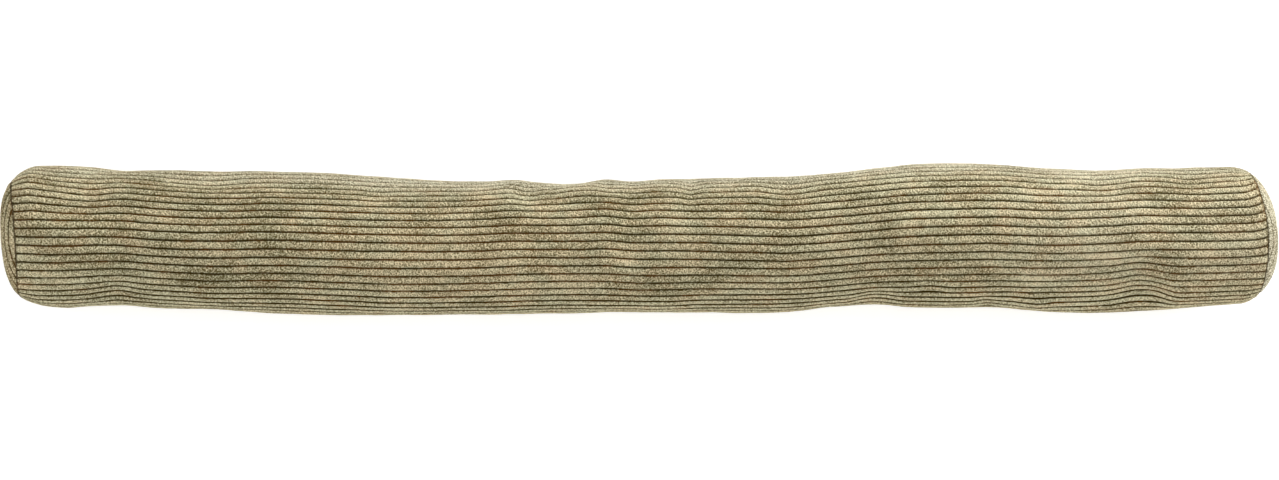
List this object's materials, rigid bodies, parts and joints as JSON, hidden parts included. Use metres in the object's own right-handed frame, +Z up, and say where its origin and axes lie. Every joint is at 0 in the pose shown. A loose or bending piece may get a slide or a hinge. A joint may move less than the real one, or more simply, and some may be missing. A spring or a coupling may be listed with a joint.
{
  "type": "draught excluder",
  "caption": "Long stuffed draught excluder in jumbo corduroy: a soft round tube with ribs along its length and a domed round panel sewn into each end.",
  "frame": {"origin": "middle of the underside's bounding box, on the surface the tube rests on", "axes": "+X along the tube, +Y across it, +Z up from the resting surface"},
  "size_m": [0.8993, 0.1069, 0.0946],
  "materials": {
    "corduroy": "sage beige cotton jumbo corduroy, brushed pile in ribs along the tube",
    "corduroy_ends": "the same corduroy, ribs across the round end panels"
  },
  "bodies": {
    "root": {"tube_cover": "corduroy", "end_panel_left": "corduroy_ends", "end_panel_right": "corduroy_ends"}
  },
  "joints": []
}
